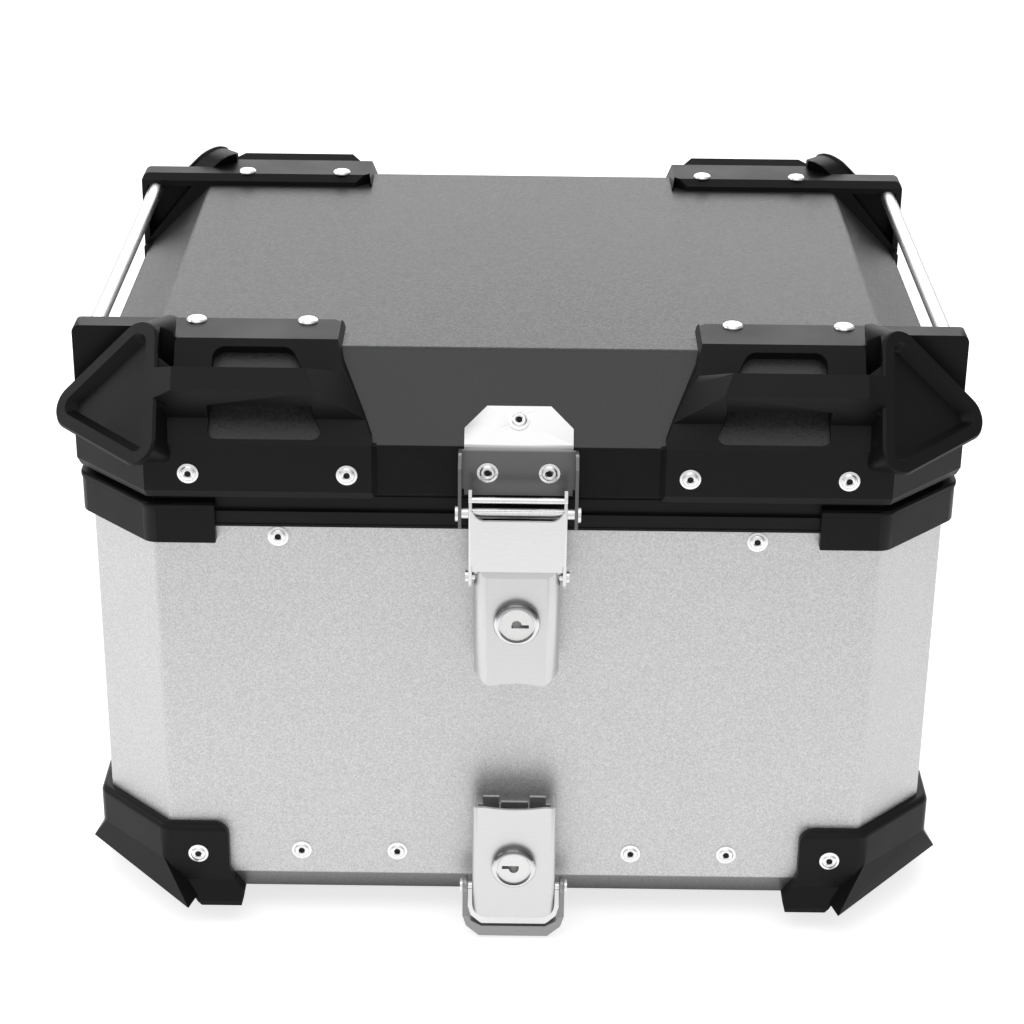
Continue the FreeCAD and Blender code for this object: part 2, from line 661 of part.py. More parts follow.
# ---- lid latch -----------------------------------------------------------------------------------
LEVER_FACE = -180.0       # outer face of the latch levers
LATCH_PIVOT = (-175.3, 204.5)
CLAW_PIVOT = (-174.5, 192.5)
KEEPER = (-175.0, 224.5)
LATCH_LOCK_Z = 171.9
KEEPER_R = 2.5
CLAW_PIN_R = 1.75
CLAW_HALF = 22.3
CLAW_BAR = (-180.0, 233.2)   # round bar between the tips of the claw
CLAW_BAR_R = 1.4
PIVOT_R = 2.0
BRACKET_HALF = 24.6       # bracket's plate, half width
BRACKET_REACH = 27.1      # outer faces of its cheeks
BASE_T = 2.0              # latch bases


def lid_bracket():
    """Bent plate on the lid: tab on the slope, face on the band, two cheeks that hold the keeper pin."""
    y = -HALF_D - LID_OFF
    tab = 19.2
    shoulder = 8.3
    tip_half = 14.5
    outer_knee = BAND_TOP + STEEL * math.tan(math.radians(22.5))
    strip = [(y, 230), (y - STEEL, 230), (y - STEEL, outer_knee), on_slope(0, tab, STEEL)[1:],
             on_slope(0, tab, 0)[1:], (y, BAND_TOP)]
    strip = [(-BRACKET_HALF, *p) for p in strip]
    strip = rounded_prism(strip, [0, 0, 2.8, 0, 0, 0], (2 * BRACKET_HALF, 0, 0))
    far = BRACKET_HALF + 1
    corner = [(far, shoulder), (BRACKET_HALF, shoulder), (tip_half, tab), (tip_half, tab + 1),
              (far, tab + 1)]
    clipped = prism([on_slope(-x, up, -3) for x, up in corner], (0, -10 * SLOPE, 10 * SLOPE))
    low, high = 233, 252.5
    cheek = [(y, high), (y - 6, high), (y - 12.6, 247.5), (y - 12.6, 219), (y - 10, 216.8), (y - 6, 216.8),
             (y - 3.5, 230), (y, low)]
    cheek = prism_yz(cheek, -BRACKET_REACH, STEEL - BRACKET_REACH)
    face = box(-BRACKET_REACH, BRACKET_REACH, y - STEEL, y, low, high)
    solid = fuse(strip.cut(both_sides(clipped)), face, *both_sides(cheek))
    keeper_hole = rod((-30, KEEPER[0], KEEPER[1]), (1, 0, 0), KEEPER_R, 60)
    return solid.cut([keeper_hole, frame_bead()])


def headed_pin(place, radius, half_length, head_r, head_t):
    """Pin across the case's middle with a head at each end."""
    y, z = place
    pin = rod((-half_length, y, z), (1, 0, 0), radius, 2 * half_length)
    head = rod((-half_length - head_t, y, z), (1, 0, 0), head_r, head_t)
    return fuse(pin, *both_sides(head))


def latch_base():
    """Bracket riveted to the tub, with the two ears that carry the lever's pivot."""
    half = 17.4
    face = -HALF_D - BASE_T
    top = RAIL_Z - 0.3
    plate = box(-half, half, face, -HALF_D, 156, top)
    y, z = LATCH_PIVOT
    ear = [(face, 186), (face, top), (y, z + 4), (y + 1, z - 4), (face - 4, 190)]
    ear = prism_yz(ear, -half, BASE_T - half).fuse(rod((-half, y, z), (1, 0, 0), 4, BASE_T))
    catch = box(-5, 5, face - 4, face, 156.4, 158.9)
    solid = fuse(plate, *both_sides(ear), catch)
    return solid.cut(rod((-30, y, z), (1, 0, 0), PIVOT_R, 60))


def bent_block(half_width, face, back, z0, z1, radius):
    block = box(-half_width, half_width, face, back, z0, z1)
    return block.makeFillet(radius, edges_where(block, lambda p: p.y < face + 0.01 and abs(p.x) > 5))


def lever_face(half_width, z0, z1, radius):
    """Lever channel: a face and two sides, with a bend along each of the two long outer edges."""
    block = bent_block(half_width, LEVER_FACE, -167.5, z0, z1, radius)
    hollow = bent_block(half_width - STEEL, LEVER_FACE + STEEL, -160, z0 - 1, z1 + 1, radius - STEEL)
    return block.cut(hollow)


def latch_lever():
    """Channel with clipped lower corners, a finger scallop, and an arm up to the pivot on each side."""
    half = 19.7
    z0, z1 = 138.5, 197.5
    cut = 6.0
    channel = lever_face(half, z0, z1, 6)
    front = [(cut - half, z0), (half - cut, z0), (half, z0 + cut), (half, z1), (-half, z1),
             (-half, z0 + cut)]
    scallop = rod((0, -190, z0 - 43), (0, 1, 0), 44.2, 30)
    y, z = LATCH_PIVOT
    arm = prism_yz([(-179, 196), (-171.5, 196), (-172, z), (-178.6, z)], -half, STEEL - half)
    arm = arm.fuse(rod((-half, y, z), (1, 0, 0), 3.8, STEEL))
    bend_run_out = beyond((-half + 6, LEVER_FACE, 194), (0, -1, 0.35))
    channel = channel.common(prism_xz(front, -190, -160)).cut(scallop)
    solid = fuse(channel, *both_sides(arm)).cut(bend_run_out)
    pivot_hole = rod((-30, y, z), (1, 0, 0), PIVOT_R + RUN, 60)
    claw_hole = rod((-30, CLAW_PIVOT[0], CLAW_PIVOT[1]), (1, 0, 0), CLAW_PIN_R, 60)
    lock_hole = rod((0, -190, LATCH_LOCK_Z), (0, 1, 0), BARREL_R, 30)
    return solid.cut([pivot_hole, claw_hole, lock_hole])


def stub_pin(place, radius, x_in, x_out, head_r, head_t):
    """Short pivot rivet: flush inside the lever, headed outside the link."""
    y, z = place
    pin = rod((-x_out, y, z), (1, 0, 0), radius, x_out - x_in)
    return pin.fuse(rod((-x_out - head_t, y, z), (1, 0, 0), head_r, head_t))


def latch_claw():
    """Draw link: a face between two side arms whose tips stand in front of the keeper pin."""
    half = CLAW_HALF
    face_y = -181.8
    y, z = CLAW_PIVOT
    face = box(-half, half, face_y, face_y + STEEL, 198.2, 228)
    dip = rounded_box(-20.6, 20.6, -190, -170, 223.4, 240, 6, "y")
    notch = box(-30, -20.5, -190, -170, 190, 201)
    arm = [(face_y, 201), (face_y, 228), (-181, 235), (-179.6, 238), (-178.2, 237.5), (-178.1, 220),
           (-175, 214), (-171.2, 208), (-170.6, 190), (-172, 187.8), (-176.8, 187.8), (-178.5, 190),
           (-179, 200)]
    arm = prism_yz(arm, -half, STEEL - half)
    solid = fuse(face.cut([dip, notch, mirror_x(notch)]), *both_sides(arm))
    solid = solid.makeFillet(0.9, edges_where(
        solid, lambda p: abs(p.x) > half - 0.01 and p.y < face_y + 0.01 and 202 < p.z < 227))
    bar_hole = rod((-30, *CLAW_BAR), (1, 0, 0), CLAW_BAR_R, 60)
    pivot_hole = rod((-30, y, z), (1, 0, 0), CLAW_PIN_R + RUN, 60)
    return solid.cut([bar_hole, pivot_hole])


nodes["lid_latch_bracket"] = lid_bracket()
nodes["keeper_pin"] = headed_pin(KEEPER, KEEPER_R, 27.1, 3.9, 1.3)
nodes["latch_base"] = latch_base()
nodes["latch_pivot_pin"] = rod((-20.3, LATCH_PIVOT[0], LATCH_PIVOT[1]), (1, 0, 0), PIVOT_R, 40.6)
nodes["latch_lever"] = latch_lever()
nodes["latch_lock_housing"] = lock_housing(LEVER_FACE, LATCH_LOCK_Z)
nodes["latch_lock_nut"] = lock_nut(LEVER_FACE + STEEL, LATCH_LOCK_Z)
nodes["latch_lock_plug"] = lock_plug(LEVER_FACE, LATCH_LOCK_Z, 1)
nodes["claw_pivot_pins"] = group(both_sides(stub_pin(CLAW_PIVOT, CLAW_PIN_R, 18.2, 22.4, 3.0, 1.4)))
nodes["latch_claw"] = latch_claw()
nodes["claw_bar"] = rod((-CLAW_HALF, *CLAW_BAR), (1, 0, 0), CLAW_BAR_R, 2 * CLAW_HALF)


# ---- quick-release latch -------------------------------------------------------------------------
RELEASE_PIVOT = (-175.6, 16.5)
BAIL_PIVOT = (-174.6, 25.0)
RELEASE_LOCK_Z = 41.5
RELEASE_FACE = -182.0
LEVER_SHIFT = RELEASE_FACE - LEVER_FACE


def release_base():
    """Bracket riveted to the tub: two cheeks for the pivot, and three upright fingers above the lever."""
    half = 17.6
    face = -HALF_D - BASE_T
    y, z = RELEASE_PIVOT
    plate = box(-18, 18, face, -HALF_D, 25, 65)
    cheek = [(face, 60), (-168, 60), (-179.3, 36), (-179.4, z), (-171.8, z), (face, 25.5)]
    cheek = prism_yz(cheek, -half, BASE_T - half).fuse(rod((-half, y, z), (1, 0, 0), 3.8, BASE_T))
    finger_y = -170.0
    finger_z = 62.0
    bridge = box(-15.1, 15.1, finger_y, face + 1, finger_z, finger_z + STEEL)
    tab = box(-15.1, -7.2, finger_y, finger_y + STEEL, finger_z, 72.4)
    middle = box(-6.6, 6.6, finger_y, finger_y + STEEL, finger_z, 69.4)
    solid = fuse(plate, *both_sides(cheek), bridge, *both_sides(tab), middle)
    return solid.cut(rod((-30, y, z), (1, 0, 0), PIVOT_R, 60))


def release_lever():
    """Channel with round lower corners and a shallow finger scallop at its top."""
    half = 20.0
    z0, z1 = 11.6, 73.4
    channel = lever_face(half, z0, z1, 2.5).translate(V(0, LEVER_SHIFT, 0))
    front = [(-half, z0), (half, z0), (half, z1), (-half, z1)]
    shape = rounded_prism([(x, -190, z) for x, z in front], [7, 7, 0.8, 0.8], (0, 30, 0))
    scallop = rod((0, -190, z1 + 81.2), (0, 1, 0), 82.4, 30)
    solid = channel.common(shape).cut(scallop)
    pivot_hole = rod((-30, RELEASE_PIVOT[0], RELEASE_PIVOT[1]), (1, 0, 0), PIVOT_R + RUN, 60)
    bail_hole = rod((-30, BAIL_PIVOT[0], BAIL_PIVOT[1]), (1, 0, 0), PIVOT_R, 60)
    lock_hole = rod((0, -190, RELEASE_LOCK_Z), (0, 1, 0), BARREL_R, 30)
    return solid.cut([pivot_hole, bail_hole, lock_hole])


def release_bail():
    """Stirrup that draws the case down on to its plate: two arms and a flat strip with cut corners."""
    outer = [(-24.6, 31), (-24.6, 13), (-22.9, 7.5), (-16.5, 1.8)]
    inner = [(-22.1, 32), (-22.1, 14), (-20.6, 10.6), (-15.2, 7.4)]
    outer, inner = [half + [(-x, z) for x, z in reversed(half)] for half in (outer, inner)]
    front = prism_xz(outer, -190, -160).cut(prism_xz(inner, -195, -155))
    y, z = BAIL_PIVOT
    arm = [(y - 4.6, z), (-183.4, 13), (-183.4, 1), (-180.6, 1), (-180.6, 8), (-176.5, 13),
           (y + 4.2, z - 1)]
    side = prism_yz(arm, -40, 40).fuse(rod((-40, y, z), (1, 0, 0), 4.9, 80))
    return front.common(side).cut(rod((-40, y, z), (1, 0, 0), PIVOT_R + RUN, 80)).removeSplitter()


nodes["release_base"] = release_base()
nodes["release_pivot_pin"] = rod((-20.0, RELEASE_PIVOT[0], RELEASE_PIVOT[1]), (1, 0, 0), PIVOT_R, 40.0)
nodes["release_lever"] = release_lever()
nodes["release_lock_housing"] = lock_housing(RELEASE_FACE, RELEASE_LOCK_Z)
nodes["release_lock_nut"] = lock_nut(RELEASE_FACE + STEEL, RELEASE_LOCK_Z)
nodes["release_lock_plug"] = lock_plug(RELEASE_FACE, RELEASE_LOCK_Z, -1)
nodes["bail_pivot_pins"] = group(both_sides(stub_pin(BAIL_PIVOT, PIVOT_R, 18.5, 24.7, 3.4, 1.2)))
nodes["release_bail"] = release_bail()


# ---- rivets --------------------------------------------------------------------------------------
FRONT = (0, -1, 0)
REAR = (0, 1, 0)
UP = (0, 0, 1)
DOWN = (0, 0, -1)


def rivet_set(names_of_side, xs, z, y, length, domed=True):
    """Front and rear rows of rivets at plus and minus each x."""
    rivets = []
    for end, axis in (("front", FRONT), ("rear", REAR)):
        for side, sign in (("left", -1), ("right", 1)):
            seats = [(sign * x, axis[1] * y, z) for x in xs]
            rivets += fasten(names_of_side(end, side), seats, axis, length, domed)
    return rivets


rim_rivets = rivet_set(lambda end, side: ["body_shell", "rim_rail"], [110.1], 205.9, HALF_D, 3.5)
plate_rivets = []
for side, sign in (("left", -1), ("right", 1)):
    seats = [(sign * x, -HALF_D, PLATE_RIVET_Z) for x in PLATE_RIVETS]
    plate_rivets += fasten(["body_shell", "front_backing_plate_" + side], seats, FRONT, 3.5)
    seats = [(sign * x, HALF_D + HOOK_T, PLATE_RIVET_Z) for x in PLATE_RIVETS]
    pieces = ["rear_hook_" + side, "body_shell", "rear_backing_plate_" + side]
    plate_rivets += fasten(pieces, seats, REAR, 6)
guard_rivets = rivet_set(lambda end, side: ["foot_guard_%s_%s" % (end, side), "body_shell"], [153.2],
                         37.2, HALF_D + FOOT_GUARD, 7.0)
foot_rivets = []
for x in (-FOOT_X, FOOT_X):
    for y in (-FOOT_Y, FOOT_Y):
        foot_rivets += fasten(["rubber_feet", "body_shell"], [(x, y, FOOT_SEAT)], DOWN, 9.5)
body_leaf_seats = [(x, body_face, 187) for x in HINGE_RIVETS]
hinge_rivets = fasten(["hinge_body_leaf", "body_shell"], body_leaf_seats, REAR, 4)
base_rivets = []
for name, z in (("latch_base", 180), ("release_base", 52)):
    seats = [(x, -HALF_D - BASE_T, z) for x in (-8, 8)]
    base_rivets += fasten([name, "body_shell"], seats, FRONT, 3.5, False)
nodes["body_rivets"] = group(rim_rivets + plate_rivets + guard_rivets + hinge_rivets)
nodes["foot_rivets"] = group(foot_rivets)
nodes["latch_base_rivets"] = group(base_rivets)

band_rivets = rivet_set(lambda end, side: ["lid_guard_%s_%s" % (end, side), "lid_frame"], [77.6, 149.4],
                        239.7, HALF_D + GUARD, 5.9)
face_seats = [(x, -lid_face - STEEL, 241.2) for x in (-14, 14)]
slope_seat = on_slope(0, 12.2, STEEL)
bracket_rivets = fasten(["lid_latch_bracket", "lid_frame"], face_seats, FRONT, 4.5)
bracket_rivets += fasten(["lid_latch_bracket", "lid_shell"], [slope_seat], (0, -1, 1), 4)
leaf_seats = [(x, lid_face + HINGE_T, 245) for x in HINGE_RIVETS]
leaf_rivets = fasten(["hinge_lid_leaf", "lid_frame"], leaf_seats, REAR, 5.5)
nodes["lid_rivets"] = group(band_rivets + bracket_rivets + leaf_rivets)
top_rivets = []
for name, place in CORNERS:
    end = -1 if name.startswith("front") else 1
    side = -1 if name.endswith("left") else 1
    seats = [(side * x, end * 114.5, GUARD_TOP) for x in (98.1, 149.5)]
    top_rivets += fasten(["lid_guard_" + name, "lid_shell"], seats, UP, 6.5, False)
nodes["strap_guard_rivets"] = group(top_rivets)
nodes["rivet_mandrels_body"] = group(mandrels["body"])
nodes["rivet_mandrels_lid"] = group(mandrels["lid"])

for name, shape in nodes.items():
    shape.exportStep("parts/%s.step" % name)
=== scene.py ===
import json
import math

import bpy
from mathutils import Euler, Matrix, Vector


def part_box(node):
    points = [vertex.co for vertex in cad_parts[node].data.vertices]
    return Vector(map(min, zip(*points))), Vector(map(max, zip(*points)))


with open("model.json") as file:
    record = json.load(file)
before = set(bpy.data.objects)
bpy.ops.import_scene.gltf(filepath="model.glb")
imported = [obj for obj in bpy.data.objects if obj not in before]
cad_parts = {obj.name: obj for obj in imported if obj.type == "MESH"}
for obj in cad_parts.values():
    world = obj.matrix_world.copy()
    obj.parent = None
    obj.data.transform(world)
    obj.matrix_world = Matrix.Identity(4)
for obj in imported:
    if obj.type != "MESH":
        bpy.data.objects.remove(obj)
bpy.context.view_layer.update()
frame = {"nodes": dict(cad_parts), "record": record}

NODES = frame["nodes"]
MM = 0.001


# ---- camera and studio ---------------------------------------------------------------------------
CAMERA_AT = Vector((-0.0006, -1.2029, 0.7039))
CAMERA_DOWN = math.radians(24.97)
CAMERA_YAW = math.radians(0.12)
CAMERA_ROLL = math.radians(0.65)
SENSOR = 36.0
FOCAL = 88.26
# name, place, target, width, height, power
SOFTBOXES = (("back_softbox", (0.0, 1.7, 1.25), (0, 0, 0.25), 2.6, 1.2, 17.5),
             ("top_softbox", (-0.2, -0.9, 2.1), (0, -0.2, 0.1), 1.8, 1.4, 6),
             ("left_softbox", (-1.6, 0.1, 1.05), (0, 0.05, 0.2), 0.9, 0.7, 4))
# brightness of the surround from left to right
TENT = ((0.0, 0.50), (0.35, 0.92), (0.6, 0.92), (1.0, 0.32))
FLOOR_SIDE = 8.0
FLOOR_GLOW = 0.70
FLOOR_FRONT_FADE = (-1.1, -0.35, 0.50, 1.0)
FLOOR_RIGHT_FADE = (0.5, 2.0, 1.0, 0.6)


def add_camera():
    data = bpy.data.cameras.new("camera")
    data.sensor_width = SENSOR
    data.lens = FOCAL
    camera = bpy.data.objects.new("camera", data)
    turn = Euler((0, 0, CAMERA_YAW)).to_matrix() @ Euler((math.pi / 2 - CAMERA_DOWN, 0, 0)).to_matrix()
    turn = turn @ Euler((0, 0, CAMERA_ROLL)).to_matrix()
    camera.matrix_world = Matrix.Translation(CAMERA_AT) @ turn.to_4x4()
    bpy.context.scene.collection.objects.link(camera)
    bpy.context.scene.camera = camera


def aim(obj, target):
    obj.rotation_euler = (Vector(target) - obj.location).to_track_quat("-Z", "Y").to_euler()


def add_softbox(name, at, target, width, height, power):
    data = bpy.data.lights.new(name, "AREA")
    data.shape = "RECTANGLE"
    data.size = width
    data.size_y = height
    data.energy = power
    lamp = bpy.data.objects.new(name, data)
    lamp.location = at
    bpy.context.scene.collection.objects.link(lamp)
    aim(lamp, target)


def add_world():
    """A white tent, dimmer to the two sides than ahead and overhead, and dimmest to the right."""
    world = bpy.data.worlds.new("studio")
    world.use_nodes = True
    tree = world.node_tree
    tree.nodes.clear()
    direction = tree.nodes.new("ShaderNodeTexCoord").outputs["Generated"]
    split = tree.nodes.new("ShaderNodeSeparateXYZ")
    tree.links.new(direction, split.inputs[0])
    ramp = tree.nodes.new("ShaderNodeValToRGB")
    ramp.color_ramp.interpolation = "EASE"
    stops = ramp.color_ramp.elements
    for place, _ in TENT[1:-1]:
        stops.new(place)
    for stop, (place, level) in zip(stops, TENT):
        stop.position = place
        stop.color = (level, level, level, 1.0)
    across = tree.nodes.new("ShaderNodeMapRange")
    across.inputs["From Min"].default_value = -1.0
    tree.links.new(split.outputs["X"], across.inputs["Value"])
    tree.links.new(across.outputs[0], ramp.inputs[0])
    shade = tree.nodes.new("ShaderNodeBackground")
    tree.links.new(ramp.outputs["Color"], shade.inputs["Color"])
    out = tree.nodes.new("ShaderNodeOutputWorld")
    tree.links.new(shade.outputs[0], out.inputs["Surface"])
    bpy.context.scene.world = world


# ---- materials -----------------------------------------------------------------------------------
class Shader:
    """A Principled material with short ways to add noise, ramps and bump in the piece's own frame."""

    def __init__(self, name, roughness=0.5, metallic=0.0, **constants):
        self.material = bpy.data.materials.new(name)
        self.material.use_nodes = True
        self.tree = self.material.node_tree
        self.tree.nodes.clear()
        self.out = self.new("ShaderNodeOutputMaterial")
        self.body = self.new("ShaderNodeBsdfPrincipled")
        self.link(self.body.outputs[0], self.out.inputs["Surface"])
        self.body.inputs["Roughness"].default_value = roughness
        self.body.inputs["Metallic"].default_value = metallic
        for key, value in constants.items():
            self.body.inputs[key.replace("_", " ")].default_value = value
        self.place = self.new("ShaderNodeTexCoord").outputs["Object"]

    def new(self, kind):
        return self.tree.nodes.new(kind)

    def link(self, source, target):
        self.tree.links.new(source, target)

    def stretched(self, scale):
        node = self.new("ShaderNodeMapping")
        node.inputs["Scale"].default_value = scale
        self.link(self.place, node.inputs["Vector"])
        return node.outputs[0]

    def noise(self, scale, detail=3.0, rough=0.5, stretch=None):
        node = self.new("ShaderNodeTexNoise")
        node.inputs["Scale"].default_value = scale
        node.inputs["Detail"].default_value = detail
        node.inputs["Roughness"].default_value = rough
        self.link(self.stretched(stretch) if stretch else self.place, node.inputs["Vector"])
        return node.outputs["Fac"]

    def remap(self, value, low, high, to_low, to_high):
        node = self.new("ShaderNodeMapRange")
        numbers = {"From Min": low, "From Max": high, "To Min": to_low, "To Max": to_high}
        for key, number in numbers.items():
            node.inputs[key].default_value = number
        self.link(value, node.inputs["Value"])
        return node.outputs[0]

    def vary(self, value, to_low, to_high):
        """Spreads a noise's usual range over a new one."""
        return self.remap(value, 0.3, 0.7, to_low, to_high)

    def axis(self, name, source=None):
        """One coordinate of a place or a direction; of the place in the piece if no source is given."""
        node = self.new("ShaderNodeSeparateXYZ")
        self.link(source or self.place, node.inputs[0])
        return node.outputs[name]

    def times(self, a, b):
        node = self.new("ShaderNodeMath")
        node.operation = "MULTIPLY"
        self.link(a, node.inputs[0])
        self.link(b, node.inputs[1])
        return node.outputs[0]

    def colour(self, rgb, factor):
        """The base colour, scaled up and down by a factor near 1."""
        node = self.new("ShaderNodeVectorMath")
        node.operation = "SCALE"
        node.inputs[0].default_value = rgb
        self.link(factor, node.inputs["Scale"])
        self.link(node.outputs[0], self.body.inputs["Base Color"])

    def roughness(self, value):
        self.link(value, self.body.inputs["Roughness"])

    def bump(self, height, strength, distance):
        node = self.new("ShaderNodeBump")
        node.inputs["Strength"].default_value = strength
        node.inputs["Distance"].default_value = distance
        self.link(height, node.inputs["Height"])
        self.link(node.outputs[0], self.body.inputs["Normal"])


KICK = 0.009   # height of the leaning strip along the tub's bottom


def blasted_aluminium():
    """The tub's sheet, with painted shade darkening the strip that leans in along its bottom."""
    m = Shader("blasted_aluminium", metallic=0.9)
    grain = m.noise(1700, 2, 0.6)
    cloud = m.noise(14, 3, 0.5)
    factor = m.times(m.vary(grain, 0.78, 1.22), m.vary(cloud, 0.985, 1.015))
    height = m.axis("Z")
    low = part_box("body_shell")[0][2]
    crease = low + KICK
    # painted shade: the leaning strip along the bottom and the crease above it are darkened to stand in
    # for the shade at the bend
    bend_painted_shade = m.times(m.remap(height, crease - 0.0005, crease + 0.0003, 0.40, 1.0),
                   m.remap(height, low, crease, 0.38, 1.0))
    m.colour((0.575, 0.58, 0.575), m.times(factor, bend_painted_shade))
    m.roughness(m.vary(grain, 0.42, 0.52))
    m.bump(grain, 0.35, 0.0002)
    return m.material


def black_anodised():
    m = Shader("black_anodised", Specular_IOR_Level=0.16)
    grain = m.noise(40, 3, 0.5, (1, 1, 14))
    m.colour((0.006, 0.006, 0.0065), m.vary(grain, 0.8, 1.25))
    m.roughness(m.vary(grain, 0.32, 0.42))
    return m.material


def grained_coat():
    m = Shader("grained_coat", Specular_IOR_Level=0.5)
    grain = m.noise(750, 2, 0.55)
    cloud = m.noise(9, 2, 0.5)
    factor = m.times(m.vary(grain, 0.75, 1.3), m.vary(cloud, 0.95, 1.05))
    m.colour((0.021, 0.0215, 0.0225), factor)
    m.roughness(m.vary(grain, 0.34, 0.46))
    m.bump(grain, 0.35, 0.0003)
    return m.material


def smooth_black():
    m = Shader("smooth_black", Specular_IOR_Level=0.12)
    cloud = m.noise(60, 3, 0.5)
    m.colour((0.0052, 0.0052, 0.0057), m.vary(cloud, 0.85, 1.15))
    m.roughness(m.vary(cloud, 0.24, 0.3))
    return m.material


def moulded_nylon():
    m = Shader("moulded_nylon", Specular_IOR_Level=0.15)
    grain = m.noise(1600, 2, 0.6)
    cloud = m.noise(30, 3, 0.5)
    factor = m.times(m.vary(grain, 0.85, 1.15), m.vary(cloud, 0.95, 1.06))
    m.colour((0.0058, 0.0059, 0.0062), factor)
    m.roughness(m.vary(cloud, 0.38, 0.46))
    m.bump(grain, 0.2, 0.00012)
    return m.material


def drawn_rod():
    m = Shader("drawn_rod", metallic=1.0)
    lines = m.noise(120, 3, 0.6, (14, 0.4, 14))
    m.colour((0.71, 0.715, 0.72), m.vary(lines, 0.95, 1.04))
    m.roughness(m.vary(lines, 0.24, 0.34))
    m.bump(lines, 0.1, 0.0001)
    return m.material


def stainless_sheet(name="stainless_sheet", level=0.66):
    m = Shader(name, metallic=1.0)
    lines = m.noise(160, 4, 0.65, (1, 1, 12))
    blast = m.noise(1500, 2, 0.5)
    factor = m.times(m.vary(lines, 0.97, 1.03), m.vary(blast, 0.98, 1.02))
    m.colour((level, level, level + 0.005), factor)
    m.roughness(m.vary(lines, 0.33, 0.43))
    m.bump(blast, 0.12, 0.00008)
    return m.material


def bracket_painted_shade():
    """The latch bracket: bright on its tab, with painted shade darkening its face below the top of the
    lid frame.
    """
    m = Shader("bracket_painted_shade", metallic=1.0)
    lines = m.noise(160, 4, 0.65, (1, 1, 12))
    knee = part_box("lid_frame")[1][2]
    # painted shade: the face below the top of the lid frame is darkened to 0.22 of the tab's colour
    face = m.remap(m.axis("Z"), knee - 0.002, knee + 0.001, 0.22, 1.0)
    m.colour((0.66, 0.66, 0.665), m.times(m.vary(lines, 0.96, 1.04), face))
    m.roughness(m.vary(lines, 0.28, 0.38))
    return m.material


def bail_steel_painted_shade():
    """The bail's steel, darker than the sheet of the levers as painted shade in its colour."""
    m = Shader("bail_steel_painted_shade", metallic=1.0)
    lines = m.noise(160, 4, 0.65, (1, 12, 12))
    # painted shade: the base colour is set low to stand in for the shade and dark reflection on the
    # bail
    m.colour((0.30, 0.30, 0.303), m.vary(lines, 0.92, 1.06))
    m.roughness(m.vary(lines, 0.3, 0.4))
    return m.material


def broken_steel():
    m = Shader("broken_steel", metallic=0.6, Specular_IOR_Level=0.2)
    grit = m.noise(2500, 3, 0.6)
    m.colour((0.03, 0.028, 0.026), m.vary(grit, 0.5, 1.5))
    m.roughness(m.vary(grit, 0.5, 0.8))
    m.bump(grit, 0.4, 0.0002)
    return m.material


def turned_steel():
    m = Shader("turned_steel", metallic=1.0)
    rings = m.noise(300, 2, 0.5, (6, 1, 1))
    m.colour((0.80, 0.80, 0.81), m.vary(rings, 0.94, 1.05))
    m.roughness(m.vary(rings, 0.16, 0.26))
    return m.material


def brushed_plate():
    m = Shader("brushed_plate", metallic=1.0)
    lines = m.noise(90, 4, 0.7, (0.6, 14, 14))
    m.colour((0.62, 0.62, 0.63), m.vary(lines, 0.9, 1.08))
    m.roughness(m.vary(lines, 0.28, 0.4))
    m.bump(lines, 0.15, 0.0001)
    return m.material


def chrome():
    """Plated lock bezels, with painted shade darkening the side that faces up."""
    m = Shader("chrome", metallic=1.0)
    haze = m.noise(260, 3, 0.6)
    normal = m.new("ShaderNodeTexCoord").outputs["Normal"]
    # painted shade: the colour is darkened where the surface faces up, down to 0.22 of it
    upward_painted_shade = m.remap(m.axis("Z", normal), 0.05, 0.5, 0.85, 0.22)
    m.colour((0.86, 0.865, 0.875), m.times(upward_painted_shade, m.vary(haze, 0.98, 1.02)))
    m.roughness(m.vary(haze, 0.05, 0.09))
    return m.material


def satin_nickel():
    m = Shader("satin_nickel", metallic=1.0)
    blast = m.noise(1300, 2, 0.55)
    m.colour((0.74, 0.74, 0.735), m.vary(blast, 0.95, 1.05))
    m.roughness(m.vary(blast, 0.34, 0.44))
    m.bump(blast, 0.15, 0.00008)
    return m.material


def rivet_aluminium():
    m = Shader("rivet_aluminium", metallic=1.0)
    haze = m.noise(500, 3, 0.6)
    m.colour((0.90, 0.90, 0.905), m.vary(haze, 0.95, 1.03))
    m.roughness(m.vary(haze, 0.2, 0.32))
    return m.material


def soft_rubber():
    m = Shader("soft_rubber", Specular_IOR_Level=0.2)
    grain = m.noise(1100, 2, 0.6)
    m.colour((0.009, 0.009, 0.0095), m.vary(grain, 0.8, 1.25))
    m.roughness(m.vary(grain, 0.6, 0.75))
    m.bump(grain, 0.3, 0.0002)
    return m.material


def ribbed_mat():
    m = Shader("ribbed_mat", IOR=1.4)
    waves = m.new("ShaderNodeTexWave")
    waves.bands_direction = "X"
    waves.inputs["Scale"].default_value = 45
    m.link(m.place, waves.inputs["Vector"])
    grain = m.noise(800, 2, 0.6)
    m.colour((0.035, 0.035, 0.037), m.vary(grain, 0.8, 1.25))
    m.roughness(m.vary(grain, 0.75, 0.9))
    m.bump(waves.outputs["Fac"], 0.6, 0.0015)
    return m.material


def pale_floor():
    """A pale sheet lit from below, a little less towards the camera and the right."""
    m = Shader("pale_floor")
    cloud = m.noise(2, 2, 0.5)
    away = m.times(m.remap(m.axis("Y"), *FLOOR_FRONT_FADE), m.remap(m.axis("X"), *FLOOR_RIGHT_FADE))
    m.colour((0.62, 0.62, 0.62), m.times(away, m.vary(cloud, 0.995, 1.005)))
    m.link(m.remap(away, 0.0, 1.0, 0.0, FLOOR_GLOW), m.body.inputs["Emission Strength"])
    m.body.inputs["Roughness"].default_value = 0.9
    m.body.inputs["Specular IOR Level"].default_value = 0.0
    m.body.inputs["Emission Color"].default_value = (1.0, 1.0, 1.0, 1.0)
    return m.material


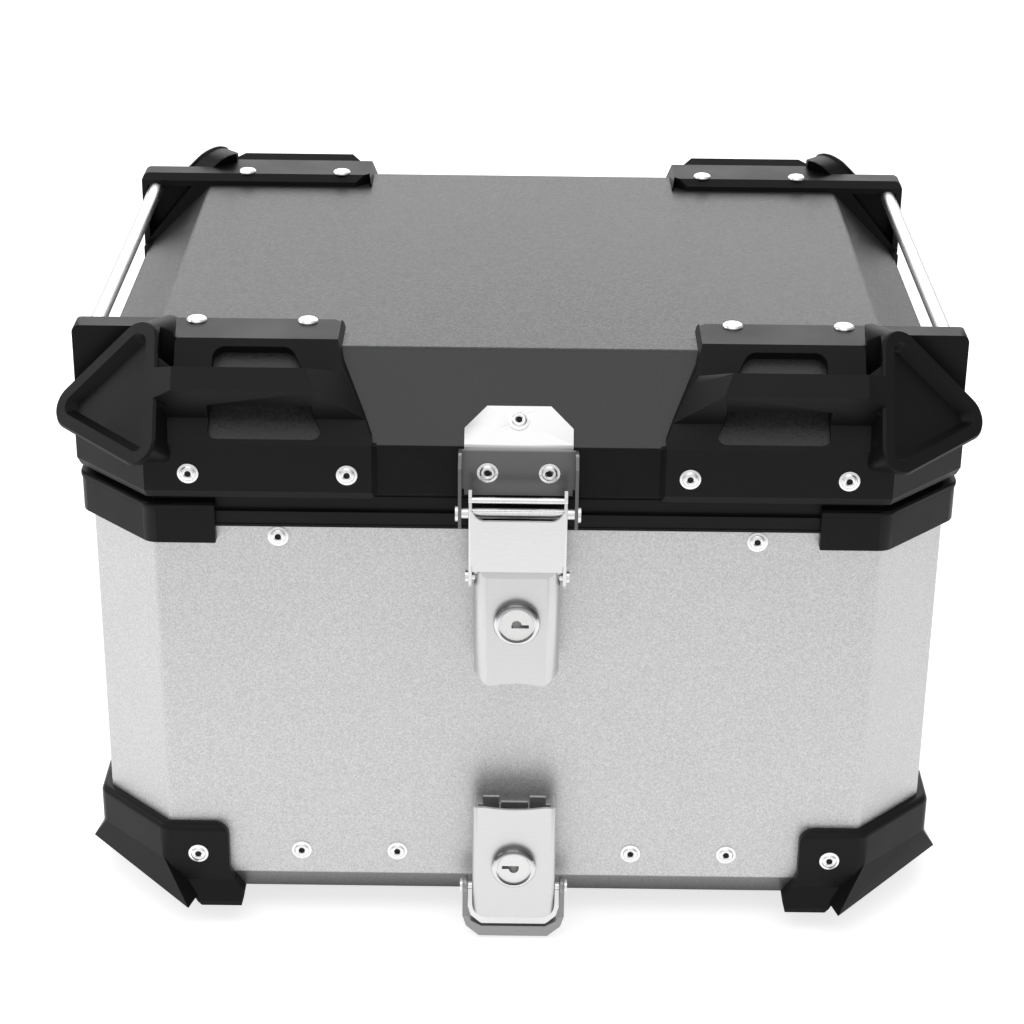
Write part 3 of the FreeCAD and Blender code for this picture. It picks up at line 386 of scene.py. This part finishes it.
SLOT_MATERIALS = {
    "silver_aluminium": blasted_aluminium,
    "black_aluminium": black_anodised,
    "black_coated_lid": grained_coat,
    "black_frame": smooth_black,
    "guard_plastic": moulded_nylon,
    "bright_rod": drawn_rod,
    "rubber": soft_rubber,
    "mat": ribbed_mat,
    "stainless_sheet": stainless_sheet,
    "steel_pins": turned_steel,
    "hinge_steel": brushed_plate,
    "lock_chrome": chrome,
    "lock_face": satin_nickel,
    "rivet_aluminium": rivet_aluminium,
    "mandrel_steel": broken_steel,
}


def dress_nodes():
    """Gives every CAD node its material by the record's slot."""
    made = {slot: make() for slot, make in SLOT_MATERIALS.items()}
    for part in frame["record"]["subparts"]:
        obj = NODES[part["node"]]
        obj.data.materials.clear()
        obj.data.materials.append(made[part["material_slot"]])
    # painted shade: the bracket gets its own material with a darkened face
    NODES["lid_latch_bracket"].data.materials[0] = bracket_painted_shade()
    # painted shade: the bail gets its own darker steel
    NODES["release_bail"].data.materials[0] = bail_steel_painted_shade()
    # painted light: the claw and the release lever get copies of the stainless sheet at other levels,
    # set to stand in for the light that falls on them
    NODES["latch_claw"].data.materials[0] = stainless_sheet("sheet_painted_light_claw", 0.79)
    NODES["release_lever"].data.materials[0] = stainless_sheet("sheet_painted_light_release", 0.67)


# ---- soft edges ----------------------------------------------------------------------------------
# widths in mm, by the start of the node's name
SOFT_EDGES = {"lid_guard": 0.9, "foot_guard": 0.9, "rim_guard": 0.7, "lid_frame": 0.4,
              "rim_rail": 0.3, "lid_latch_bracket": 0.25, "latch_claw": 0.2, "latch_lever": 0.25,
              "release_lever": 0.25, "release_bail": 0.35, "release_base": 0.25, "latch_base": 0.25,
              "hinge": 0.3, "rear_hook": 0.4}


def soften(obj, width):
    """Rounds the sharp edges of a sheet or moulding a little, as a press or a mould leaves them."""
    weld = obj.modifiers.new("weld", "WELD")
    weld.merge_threshold = 0.00001
    bevel = obj.modifiers.new("bevel", "BEVEL")
    bevel.width = width * MM
    bevel.segments = 2
    bevel.limit_method = "ANGLE"
    bevel.angle_limit = math.radians(28)
    bevel.use_clamp_overlap = True
    bevel.harden_normals = True
    bevel.miter_outer = "MITER_ARC"


def soften_nodes():
    for name, obj in NODES.items():
        for start, width in SOFT_EDGES.items():
            if name.startswith(start) and not name.endswith("pin"):
                soften(obj, width)
                break


# ---- floor ---------------------------------------------------------------------------------------
def add_floor():
    side = FLOOR_SIDE
    mesh = bpy.data.meshes.new("floor")
    corners = [(-side, -side, 0), (side, -side, 0), (side, side, 0), (-side, side, 0)]
    mesh.from_pydata(corners, [], [(0, 1, 2, 3)])
    floor = bpy.data.objects.new("floor", mesh)
    mesh.materials.append(pale_floor())
    bpy.context.scene.collection.objects.link(floor)


def main():
    bpy.context.scene.view_settings.view_transform = "Standard"
    add_camera()
    add_world()
    for softbox in SOFTBOXES:
        add_softbox(*softbox)
    add_floor()
    dress_nodes()
    soften_nodes()


main()
